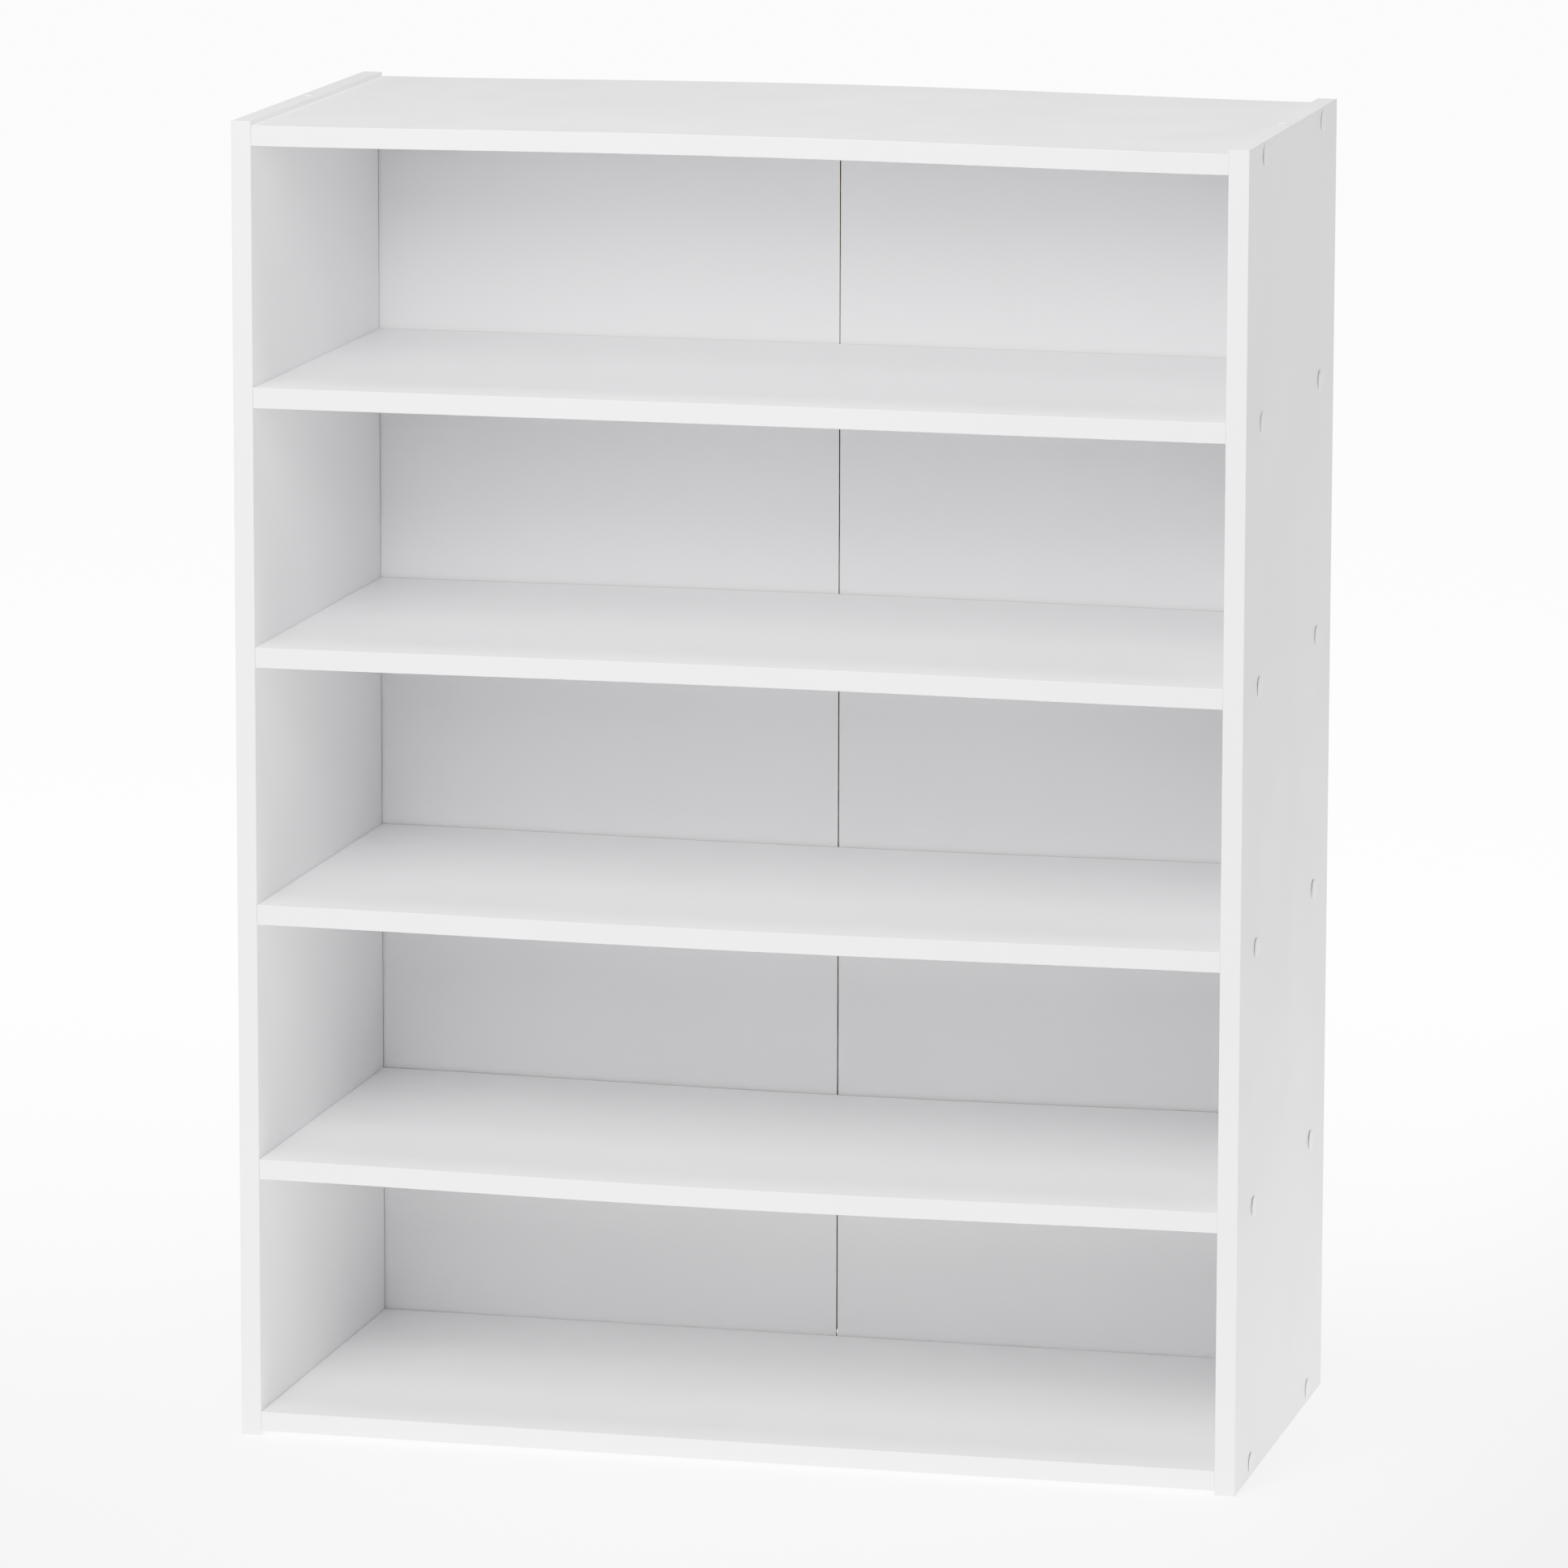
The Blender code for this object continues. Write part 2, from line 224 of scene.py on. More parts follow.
# ---------------------------------------------------------------- shapes, as (points, faces)
def grid_faces(rows, columns):
    """The quads between neighbouring rows of points, where each row closes on itself."""
    row = np.arange(rows - 1)[:, None] * columns
    column = np.arange(columns)[None, :]
    after = (column + 1) % columns
    quads = np.stack([row + column, row + after, row + columns + after, row + columns + column], -1)
    return quads.reshape(-1, 4).tolist()


def closed_rows(grid):
    """A closed shell from rows of points: quads between the rows and one flat face over each end."""
    rows, columns = grid.shape[:2]
    faces = grid_faces(rows, columns)
    first = list(range(columns))
    last = list(range((rows - 1) * columns, rows * columns))
    return grid.reshape(-1, 3), [*faces, first[::-1], last]


def rounded_outline(half_a, half_b, radius, join):
    """A rectangle with rounded corners, as core points and the directions they are pushed in.

    The core is the rectangle shrunk by the radius. Round each corner the direction turns through a quarter
    of a circle, and a point of the outline is its core point plus the radius times its direction. join adds
    the narrow V where the foil's two ends meet, in the middle of the +b edge.
    """
    quarter = np.linspace(0, math.pi / 2, ARRIS_STEPS + 1)
    angles = (np.arange(4)[:, None] * math.pi / 2 + quarter).ravel()
    outward = np.stack([np.cos(angles), np.sin(angles)], -1)
    signs = np.repeat([[1, 1], [-1, 1], [-1, -1], [1, -1]], ARRIS_STEPS + 1, axis=0)
    core = signs * [half_a - radius, half_b - radius]
    if join:
        edge = half_b - radius
        notch = [[FOIL_JOIN_WIDTH / 2, edge], [0, edge - FOIL_JOIN_DEPTH], [-FOIL_JOIN_WIDTH / 2, edge]]
        core = np.insert(core, ARRIS_STEPS + 1, notch, axis=0)
        outward = np.insert(outward, ARRIS_STEPS + 1, [[0, 1]] * 3, axis=0)
    return core, outward


def board_shell(low, high, axes, radius, stations=2, join=False):
    """A board with every arris rounded: a rounded outline carried along the board's length.

    axes names the thickness, the width and the length. Near each end the outline shrinks onto its core
    while it moves out, both along a quarter circle, so that the end's arrises are as round as the long ones.
    """
    low, high = np.array(low), np.array(high)
    half = (high - low)[list(axes)] / 2
    core, outward = rounded_outline(half[0], half[1], radius, join)
    tilt = np.linspace(0, math.pi / 2, ARRIS_STEPS + 1)
    straight = np.linspace(-1, 1, stations)[1:-1] * (half[2] - radius)
    end = half[2] - radius + radius * np.sin(tilt)
    along = np.concatenate([-end[::-1], straight, end])
    push = radius * np.concatenate([np.cos(tilt[::-1]), np.ones(len(straight)), np.cos(tilt)])
    section = core[None] + push[:, None, None] * outward[None]
    grid = np.empty((len(along), len(core), 3))
    grid[..., axes[0]] = section[..., 0]
    grid[..., axes[1]] = section[..., 1]
    grid[..., axes[2]] = along[:, None]
    return closed_rows(grid + (low + high) / 2)


def turned_shell(rings, segments, thread=None):
    """A solid turned about the X axis from rings of (x, radius) or (x, radius, 1) for a hexagon.

    A hexagon's radius is its corner radius times cos 30 over the cosine of the angle from its nearest flat's
    middle. thread gives each ring the share of the thread's height: there the radius rises and falls once
    in each pitch along X, and its phase turns once round the axis, which makes the helix.
    """
    table = np.array([(*ring, 0)[:3] for ring in rings], float)
    angle = np.arange(segments) * 2 * math.pi / segments
    sector = math.pi / 3
    flat = math.cos(sector / 2) / np.cos(angle % sector - sector / 2)
    radius = table[:, 1:2] * np.where(table[:, 2:3] > 0, flat, 1.0)
    if thread is not None:
        phase = table[:, :1] / THREAD_PITCH - angle / (2 * math.pi)
        ridge = 1 - np.abs(2 * (phase % 1) - 1)
        height = np.array(thread)[:, None] * (THREAD_RADIUS - THREAD_ROOT_RADIUS)
        radius = radius + height * ridge**THREAD_SHARPNESS
    x = np.broadcast_to(table[:, :1], radius.shape)
    return closed_rows(np.stack([x, radius * np.cos(angle), radius * np.sin(angle)], -1))


def block_shell(low, high):
    """A plain box, for cutting: its near rectangle, then its far one."""
    (x0, y0, z0), (x1, y1, z1) = low, high
    near = [(x0, y0, z0), (x1, y0, z0), (x1, y1, z0), (x0, y1, z0)]
    far = [(x, y, z1) for x, y, z in near]
    return closed_rows(np.array([near, far]))


def placed(shell, matrix):
    """The shell turned and moved by a matrix."""
    points, faces = shell
    turn = np.array(matrix.to_3x3())
    return points @ turn.T + np.array(matrix.translation), faces


def joined(shells):
    """Several shells as one, with the faces of each counted on from the ones before."""
    points, faces, start = [], [], 0
    for own_points, own_faces in shells:
        points.append(own_points)
        faces += [[start + i for i in face] for face in own_faces]
        start += len(own_points)
    return np.concatenate(points), faces


def outward_from(sign, place):
    """The matrix that points a shell's +X away from the bookcase on this side, with its zero at place."""
    return Matrix.Translation(place) @ Matrix.Rotation(0.0 if sign > 0 else math.pi, 4, "Z")


# ---------------------------------------------------------------- pieces
def mesh_piece(name, shell, material):
    """An object at the origin with this shell as its mesh, its faces pointing outwards."""
    points, faces = shell
    mesh = bpy.data.meshes.new(name)
    mesh.from_pydata(points.tolist(), [], faces)
    shape = bmesh.new()
    shape.from_mesh(mesh)
    bmesh.ops.recalc_face_normals(shape, faces=shape.faces)
    shape.to_mesh(mesh)
    shape.free()
    mesh.materials.append(material)
    soften(mesh)
    piece = bpy.data.objects.new(name, mesh)
    bpy.context.scene.collection.objects.link(piece)
    return piece


def soften(mesh):
    """Shades the mesh smooth, except over its sharp edges."""
    mesh.shade_smooth()
    mesh.set_sharp_from_angle(angle=SMOOTH_ANGLE)


def weigh_normals(piece):
    """Keeps large flat faces flat right up to their rounded arrises."""
    modifier = piece.modifiers.new("flat_faces", "WEIGHTED_NORMAL")
    modifier.keep_sharp = True
    modifier.weight = FACE_WEIGHT


def cut_out(piece, shell, material):
    """Cuts a closed shell out of a piece. The faces that the cut opens have the cutter's material."""
    cutter = mesh_piece(piece.name + "_cutter", shell, material)
    modifier = piece.modifiers.new("cut", "BOOLEAN")
    modifier.operation = "DIFFERENCE"
    modifier.solver = "EXACT"
    modifier.material_mode = "TRANSFER"
    modifier.object = cutter
    depsgraph = bpy.context.evaluated_depsgraph_get()
    result = bpy.data.meshes.new_from_object(piece.evaluated_get(depsgraph), depsgraph=depsgraph)
    piece.modifiers.clear()
    piece.data = result
    bpy.data.objects.remove(cutter, do_unlink=True)
    soften(result)


def paint_faces(piece, material, chosen):
    """Gives another material to the faces whose normals pass the test."""
    mesh = piece.data
    if material.name not in mesh.materials:
        mesh.materials.append(material)
    slot = mesh.materials.find(material.name)
    normals = np.empty(len(mesh.polygons) * 3, np.float32)
    mesh.polygons.foreach_get("normal", normals)
    slots = np.empty(len(mesh.polygons), np.int32)
    mesh.polygons.foreach_get("material_index", slots)
    slots[chosen(normals.reshape(-1, 3))] = slot
    mesh.polygons.foreach_set("material_index", slots)


def bend_up(mesh, half_length, front, rear, depths):
    """Bows a board as one clamped at both ends: its height changes by (1 - u squared) squared, where u runs
    from 0 in the middle to 1 at the ends. The rise goes evenly from the front edge's to the rear edge's."""
    co = np.empty(len(mesh.vertices) * 3, np.float32)
    mesh.vertices.foreach_get("co", co)
    co = co.reshape(-1, 3)
    u = np.clip(co[:, X] / half_length, -1, 1)
    back = (co[:, Y] - depths[0]) / (depths[1] - depths[0])
    co[:, Z] += (front + (rear - front) * back) * (1 - u**2) ** 2
    mesh.vertices.foreach_set("co", co.ravel())
    mesh.update()


def finish_piece(piece, slot, *nodes):
    """The piece rides with the bookcase and stands for these pieces of the frame."""
    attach(piece, "root")
    if nodes:
        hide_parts(*nodes)


# ---------------------------------------------------------------- node trees
def add_node(tree, kind, values=None, settings=None):
    """A node whose sockets, named or numbered, hold a value or read another node's output."""
    made = tree.nodes.new(kind)
    for name, value in (settings or {}).items():
        setattr(made, name, value)
    for key, value in (values or {}).items():
        if isinstance(value, bpy.types.NodeSocket):
            tree.links.new(value, made.inputs[key])
        else:
            made.inputs[key].default_value = value
    return made


def new_material(name, color, roughness, metallic=0.0):
    """A material and its shader, which start from one even finish."""
    material = bpy.data.materials.new(name)
    material.use_nodes = True
    material.diffuse_color = (*color, 1.0)
    shader = material.node_tree.nodes["Principled BSDF"]
    shader.inputs["Base Color"].default_value = (*color, 1.0)
    shader.inputs["Roughness"].default_value = roughness
    shader.inputs["Metallic"].default_value = metallic
    return material, material.node_tree, shader


def object_points(tree):
    """Where a point is, in metres."""
    return add_node(tree, "ShaderNodeTexCoord").outputs["Object"]


def object_normal(tree):
    return add_node(tree, "ShaderNodeTexCoord").outputs["Normal"]


def parts_of(tree, vector):
    """A vector's three parts."""
    return add_node(tree, "ShaderNodeSeparateXYZ", {"Vector": vector}).outputs


def noise(tree, vector, per_metre, detail=2.0, roughness=0.5):
    """Cloudy noise with this many waves in a metre."""
    values = {"Vector": vector, "Scale": per_metre, "Detail": detail, "Roughness": roughness}
    return add_node(tree, "ShaderNodeTexNoise", values).outputs["Fac"]


def stretched(tree, vector, scale):
    """The same coordinates, drawn out along the axes whose scale is small."""
    return add_node(tree, "ShaderNodeMapping", {"Vector": vector, "Scale": scale}).outputs["Vector"]


def math_node(tree, operation, first, second=0.0):
    """One sum on numbers or other nodes' outputs."""
    return add_node(tree, "ShaderNodeMath", {0: first, 1: second}, {"operation": operation}).outputs[0]


def times(tree, first, second):
    return math_node(tree, "MULTIPLY", first, second)


def spread(tree, value, low, high, to_low=0.0, to_high=1.0):
    """The value carried from one range to another, smoothly and held at its ends."""
    values = {"Value": value, "From Min": low, "From Max": high, "To Min": to_low, "To Max": to_high}
    return add_node(tree, "ShaderNodeMapRange", values, {"interpolation_type": "SMOOTHSTEP"}).outputs[0]


def mixed(tree, factor, first, second):
    """Two colours mixed by a factor. A colour is three numbers or another node's output."""
    made = tree.nodes.new("ShaderNodeMix")
    made.data_type = "RGBA"
    for socket, value in ((made.inputs["Factor"], factor), (made.inputs[6], first), (made.inputs[7], second)):
        if isinstance(value, bpy.types.NodeSocket):
            tree.links.new(value, socket)
        elif isinstance(value, tuple):
            socket.default_value = (*value, 1.0)
        else:
            socket.default_value = value
    return made.outputs[2]


def bumps(tree, heights):
    """A normal from several height patterns, each (pattern, height in metres), one on top of another."""
    normal = None
    for pattern, height in heights:
        values = {"Height": pattern, "Distance": height, "Strength": 1.0}
        if normal is not None:
            values["Normal"] = normal
        normal = add_node(tree, "ShaderNodeBump", values).outputs["Normal"]
    return normal


def arris_mask(tree):
    """1 on a rounded arris and 0 on a flat face: how far the normal is from all three axes."""
    sizes = [math_node(tree, "ABSOLUTE", part) for part in parts_of(tree, object_normal(tree))]
    largest = math_node(tree, "MAXIMUM", math_node(tree, "MAXIMUM", sizes[X], sizes[Y]), sizes[Z])
    return spread(tree, largest, *ARRIS_RANGE, 1.0, 0.0)


def specks(tree, vector, per_metre, radius, share):
    """1 inside small round specks: one in each cell of a Voronoi pattern, in only a share of the cells."""
    values = {"Vector": vector, "Scale": per_metre, "Randomness": 1.0}
    cells = add_node(tree, "ShaderNodeTexVoronoi", values)
    rim = radius * per_metre
    inside = spread(tree, cells.outputs["Distance"], rim / 2, rim, 1.0, 0.0)
    picked = add_node(tree, "ShaderNodeSeparateColor", {"Color": cells.outputs["Color"]}).outputs[0]
    return times(tree, inside, math_node(tree, "LESS_THAN", picked, share))


def tinted(color, factor):
    """The colour made darker or paler."""
    return tuple(min(1.0, factor * part) for part in color)


def dress(tree, shader, shade, gloss=None, relief=()):
    """Joins a finish's colour, its roughness and its relief, as (pattern, name in RELIEF), to the shader."""
    tree.links.new(shade, shader.inputs["Base Color"])
    if gloss is not None:
        tree.links.new(gloss, shader.inputs["Roughness"])
    normal = bumps(tree, [(pattern, RELIEF[name]) for pattern, name in relief])
    tree.links.new(normal, shader.inputs["Normal"])


# ---------------------------------------------------------------- finishes
def foil_finish(name, color, roughness, rear=None):
    """White satin foil over particle board. On a shelf that ends at depth rear, a painted shade line darkens
    the top face along that edge, where the shelf meets the back sheet.

    The chips under it show through as very low waves, the foil has a finer orange peel and a matt grain, its
    white and its gloss wander slightly over a hand's width, the folded arrises are burnished to a lower
    roughness and painted paler in patches as a painted highlight, and a few dust specks lie under it.
    """
    material, tree, shader = new_material(name, color, roughness)
    points = object_points(tree)
    dark = tinted(color, 0.975)
    pale_for_highlight = tinted(color, 1.04)
    edge = arris_mask(tree)
    cloud = noise(tree, points, per_metre=9.0, detail=3.0)
    fleck = noise(tree, points, per_metre=160.0, detail=3.0, roughness=0.6)
    rubbed = spread(tree, noise(tree, points, per_metre=60.0, detail=4.0, roughness=0.7), 0.4, 0.65)
    worn_edge_and_highlight = times(tree, edge, rubbed)
    shade = mixed(tree, spread(tree, cloud, *NOISE_RANGE), dark, color)
    shade = mixed(tree, times(tree, fleck, 0.12), shade, dark)
    # edge wear and painted highlight: the rounded arrises are made paler in patches, on top of their lower
    # burnished roughness
    shade = mixed(tree, times(tree, worn_edge_and_highlight, 0.8), shade, pale_for_highlight)
    dust = specks(tree, points, per_metre=11.0, radius=0.00045, share=0.30)
    shade = mixed(tree, times(tree, dust, 0.45), shade, DUST)
    # painted shade: the top face turns grey-brown along the shelf's rear edge, standing in for the shadow
    # where the shelf meets the back sheet
    if rear is not None:
        depth = parts_of(tree, points)[Y]
        upward = parts_of(tree, object_normal(tree))[Z]
        line = spread(tree, depth, rear - REAR_SHADE_WIDTH, rear - REAR_SHADE_WIDTH / 3)
        line = times(tree, line, spread(tree, upward, 0.1, 0.5))
        shade = mixed(tree, line, shade, REAR_SHADE_GREY)
    sheen = noise(tree, points, per_metre=14.0, detail=4.0, roughness=0.6)
    gloss = spread(tree, sheen, *NOISE_RANGE, roughness - 0.035, roughness + 0.035)
    gloss = math_node(tree, "SUBTRACT", gloss, times(tree, edge, 0.05))
    chips = noise(tree, stretched(tree, points, (1.0, 1.0, 0.8)), per_metre=95.0, detail=2.0)
    peel = noise(tree, points, per_metre=650.0, detail=1.0)
    grain = noise(tree, points, per_metre=2600.0, detail=1.0)
    dress(tree, shader, shade, gloss, [(chips, "foil_chips"), (peel, "foil_peel"), (grain, "foil_grain")])
    return material


def glue_finish():
    """The glue line along an edge strip that was trimmed flush: greyer than the foil and uneven."""
    material, tree, shader = new_material("edge_glue", GLUE, roughness=0.55)
    points = object_points(tree)
    trimmed = noise(tree, points, per_metre=70.0, detail=3.0, roughness=0.6)
    shade = mixed(tree, spread(tree, trimmed, 0.35, 0.65), GLUE_DARK, GLUE_PALE)
    beads = noise(tree, points, per_metre=900.0, detail=2.0)
    dress(tree, shader, shade, relief=[(beads, "glue")])
    return material


def chipboard_finish():
    """Raw particle board, as bored and sawn faces show it: flat chips of several browns, pressed together."""
    material, tree, shader = new_material("raw_chipboard", CHIP, roughness=0.85)
    points = object_points(tree)
    flat = stretched(tree, points, (1.0, 1.0, 1.6))
    chips = add_node(tree, "ShaderNodeTexVoronoi", {"Vector": flat, "Scale": 520.0})
    tone = add_node(tree, "ShaderNodeSeparateColor", {"Color": chips.outputs["Color"]}).outputs[0]
    fines = noise(tree, points, per_metre=2200.0, detail=3.0, roughness=0.7)
    shade = mixed(tree, tone, CHIP_PALE, CHIP_DARK)
    shade = mixed(tree, times(tree, fines, 0.5), shade, CHIP_DUST)
    gaps = spread(tree, chips.outputs["Distance"], 0.2, 0.6, 1.0, 0.0)
    dress(tree, shader, shade, relief=[(gaps, "chip_gaps"), (fines, "chip_fines")])
    return material


def printed_finish(color, half_width):
    """The white printed face of the thin back sheet: matter than the foil, with the fibres just showing.

    The print stops half_width to the left and right of the middle, inside the grooves, and past it the face
    is painted dark brown as painted shade in the grooves.
    """
    material, tree, shader = new_material("printed_back", color, roughness=0.5)
    points = object_points(tree)
    dark = tinted(color, 0.972)
    cloud = noise(tree, points, per_metre=6.0, detail=3.0)
    upright = stretched(tree, points, (1.0, 1.0, 0.35))
    fibres = noise(tree, upright, per_metre=420.0, detail=3.0, roughness=0.65)
    shade = mixed(tree, spread(tree, cloud, *NOISE_RANGE), dark, color)
    shade = mixed(tree, times(tree, fibres, 0.15), shade, dark)
    dust = specks(tree, points, per_metre=9.0, radius=0.0005, share=0.35)
    shade = mixed(tree, times(tree, dust, 0.4), shade, PRINT_DUST)
    # painted shade: past the print's edge, inside the grooves, the face turns dark brown, standing in for the
    # shadow where the sheet meets the sides
    aside = math_node(tree, "ABSOLUTE", parts_of(tree, points)[X])
    bare = math_node(tree, "GREATER_THAN", aside, half_width)
    shade = mixed(tree, bare, shade, GROOVE_SHADE_BROWN)
    gloss = spread(tree, fibres, *NOISE_RANGE, 0.45, 0.56)
    ripple = noise(tree, stretched(tree, points, (1.0, 1.0, 0.5)), per_metre=5.0, detail=1.0)
    dress(tree, shader, shade, gloss, [(ripple, "print_ripple"), (fibres, "print_fibres")])
    return material


def fibreboard_finish():
    """The back sheet's bare rear face and edges: pressed brown fibre with fine hairs and darker knots."""
    material, tree, shader = new_material("raw_fibreboard", FIBRE, roughness=0.78)
    points = object_points(tree)
    cloud = noise(tree, points, per_metre=12.0, detail=4.0, roughness=0.6)
    hair = {"per_metre": 900.0, "detail": 3.0, "roughness": 0.7}
    across = noise(tree, stretched(tree, points, (0.16, 1.0, 1.0)), **hair)
    upright = noise(tree, stretched(tree, points, (1.0, 1.0, 0.16)), **hair)
    hairs = math_node(tree, "MAXIMUM", across, upright)
    shade = mixed(tree, spread(tree, cloud, *NOISE_RANGE), FIBRE_DARK, FIBRE_PALE)
    shade = mixed(tree, spread(tree, hairs, 0.5, 0.75, 0.0, 0.7), shade, FIBRE_HAIR)
    knots = specks(tree, points, per_metre=90.0, radius=0.0006, share=0.4)
    shade = mixed(tree, times(tree, knots, 0.6), shade, FIBRE_KNOT)
    gloss = spread(tree, hairs, 0.45, 0.8, 0.84, 0.68)
    dress(tree, shader, shade, gloss, [(cloud, "fibre_cloud"), (hairs, "fibre_hairs")])
    return material


def tape_finish():
    """White paper tape, slightly creped across its length, with the fibre ghosting through."""
    material, tree, shader = new_material("paper_tape", PAPER, roughness=0.7)
    points = object_points(tree)
    crepe = noise(tree, stretched(tree, points, (0.12, 1.0, 1.0)), per_metre=700.0, detail=3.0, roughness=0.6)
    cloud = noise(tree, points, per_metre=35.0, detail=3.0)
    shade = mixed(tree, spread(tree, cloud, *NOISE_RANGE), PAPER_DARK, PAPER_PALE)
    shade = mixed(tree, times(tree, crepe, 0.3), shade, PAPER_CREASE)
    gloss = spread(tree, crepe, *NOISE_RANGE, 0.62, 0.8)
    dress(tree, shader, shade, gloss, [(crepe, "tape_crepe")])
    return material


def plastic_finish(name, color, roughness):
    """Moulded plastic: a fine spark-eroded grain over low flow waves, and a slight wander in gloss."""
    material, tree, shader = new_material(name, color, roughness)
    points = object_points(tree)
    cloud = noise(tree, points, per_metre=120.0, detail=3.0)
    shade = mixed(tree, spread(tree, cloud, *NOISE_RANGE), tinted(color, 0.96), color)
    sheen = noise(tree, points, per_metre=300.0, detail=3.0)
    gloss = spread(tree, sheen, *NOISE_RANGE, roughness - 0.05, roughness + 0.06)
    flow = noise(tree, points, per_metre=260.0, detail=1.0)
    grain = noise(tree, points, per_metre=3000.0, detail=2.0)
    dress(tree, shader, shade, gloss, [(flow, "moulding_flow"), (grain, "moulding_grain")])
    return material


def zinc_finish():
    """Bright zinc plate on steel: a cloudy passivation and fine turning marks."""
    material, tree, shader = new_material("zinc_steel", ZINC, roughness=0.32, metallic=1.0)
    points = object_points(tree)
    cloud = noise(tree, points, per_metre=260.0, detail=4.0, roughness=0.6)
    marks = noise(tree, stretched(tree, points, (1.0, 0.05, 0.05)), per_metre=4000.0, detail=2.0)
    shade = mixed(tree, spread(tree, cloud, *NOISE_RANGE), ZINC_BLUE, ZINC_YELLOW)
    gloss = spread(tree, marks, *NOISE_RANGE, 0.24, 0.42)
    dress(tree, shader, shade, gloss, [(marks, "turning_marks")])
    return material


# ---------------------------------------------------------------- the bookcase
def side_hole_rings():
    """The stepped hole that a screw comes through, from inside the side out past its outer face at x = 0."""
    thickness = side_high[X] - side_low[X]
    shank = SHANK_RADIUS + HOLE_CLEARANCE
    head = head_radius + HOLE_CLEARANCE
    cone_bottom = -screw_sink - HEAD_HEIGHT - HOLE_CLEARANCE
    cone_top = -screw_sink - HEAD_EDGE - HOLE_CLEARANCE
    return [(-thickness - CUT_OVERRUN, shank), (cone_bottom, shank), (cone_top, head), (CUT_OVERRUN, head)]


def make_side(side, sign):
    """One side, with its screw holes, the stopped groove for the back sheet and the bore for the plug."""
    node = "side_panel_" + side
    low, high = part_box(node)
    shell = board_shell(low, high, (X, Y, Z), ARRIS, join=True)
    piece = mesh_piece("side_board_" + side, shell, side_foil)
    outer_x = high[X] if sign > 0 else low[X]
    inner_x = low[X] if sign > 0 else high[X]
    cuts = []
    for level in LEVELS:
        for row in ROWS:
            y, z = screw_spot(level, side, row)
            hole = turned_shell(side_hole_rings(), SCREW_SEGMENTS)
            cuts.append(placed(hole, outward_from(sign, (outer_x, y, z))))
    back_low, back_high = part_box("back_panel_" + side)
    across = sorted((inner_x - sign * CUT_OVERRUN, inner_x + sign * GROOVE_DEPTH))
    groove_low = (across[0], back_low[Y] - GROOVE_FRONT_CLEARANCE, back_low[Z] - GROOVE_CLEARANCE)
    groove_high = (across[1], back_high[Y] + GROOVE_CLEARANCE, back_high[Z] + GROOVE_CLEARANCE)
    cuts.append(block_shell(groove_low, groove_high))
    bore_rings = [(-PLUG_BORE_DEPTH, PLUG_BORE_RADIUS), (CUT_OVERRUN, PLUG_BORE_RADIUS)]
    bore = turned_shell(bore_rings, SCREW_SEGMENTS)
    middle = (low + high) / 2
    cuts.append(placed(bore, upright_at((middle[X], middle[Y], high[Z]))))
    cut_out(piece, joined(cuts), chipboard)
    paint_faces(piece, glue_line, lambda normals: np.abs(normals[:, [X, Z]]).min(axis=1) > ARRIS_FACING)
    weigh_normals(piece)
    finish_piece(piece, "side_laminate", node)


def upright_at(place):
    """The matrix that points a shell's +X upwards, with its zero at place."""
    return Matrix.Translation(place) @ Matrix.Rotation(-math.pi / 2, 4, "Y")


def screw_spot(level, side, row):
    """The height and depth of a screw's axis."""
    low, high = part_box(f"screw_{level}_{side}_{row}")
    middle = (low + high) / 2
    return middle[Y], middle[Z]


def pilot_rings(end_gap):
    """The hole in a board's end for the thread, from its floor out past the end face at x = 0."""
    radius = THREAD_RADIUS + HOLE_CLEARANCE
    point = POINT_RADIUS + HOLE_CLEARANCE
    floor = side_high[X] - side_low[X] + end_gap - screw_sink - screw_length - PILOT_SPARE_DEPTH
    return [(floor, point), (floor + POINT_LENGTH, radius), (CUT_OVERRUN, radius)]


def make_board(level):
    """The top, a shelf or the bottom: bored at both ends, then bowed.

    The top and the bottom are grooved for the back sheet. A shelf's rear edge, which the sheet hides, is raw.
    """
    node = BOARD_OF[level]
    low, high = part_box(node)
    half_length = side_low[X]
    low[X], high[X] = JOINT_GAPS["left"] - half_length, half_length - JOINT_GAPS["right"]
    is_shelf = level.startswith("shelf")
    name = ("shelf_board_" + level[-1]) if is_shelf else level + "_board"
    shell = board_shell(low, high, (Z, Y, X), ARRIS, stations=BOARD_STATIONS, join=not is_shelf)
    piece = mesh_piece(name, shell, shelf_foil if is_shelf else board_foil)
    paint_faces(piece, chipboard, lambda normals: np.abs(normals[:, X]) > END_FACING)
    if is_shelf:
        paint_faces(piece, chipboard, lambda normals: normals[:, Y] > REAR_FACING)
    cuts = []
    for side, sign in SIDES.items():
        for row in ROWS:
            y, z = screw_spot(level, side, row)
            pilot = turned_shell(pilot_rings(JOINT_GAPS[side]), SCREW_SEGMENTS)
            end_x = high[X] if sign > 0 else low[X]
            cuts.append(placed(pilot, outward_from(sign, (end_x, y, z))))
    if not is_shelf:
        back_low, back_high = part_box("back_panel_left")
        inner_z = low[Z] if level == "top" else high[Z]
        up = 1 if level == "top" else -1
        reach = sorted((inner_z - up * CUT_OVERRUN, inner_z + up * GROOVE_DEPTH))
        end = half_length + CUT_OVERRUN
        groove_low = (-end, back_low[Y] - GROOVE_FRONT_CLEARANCE, reach[0])
        groove_high = (end, back_high[Y] + GROOVE_CLEARANCE, reach[1])
        cuts.append(block_shell(groove_low, groove_high))
    cut_out(piece, joined(cuts), chipboard)
    bend_up(piece.data, half_length, *BOW[node], depths=(low[Y], high[Y]))
    weigh_normals(piece)
    finish_piece(piece, "board_laminate", node)


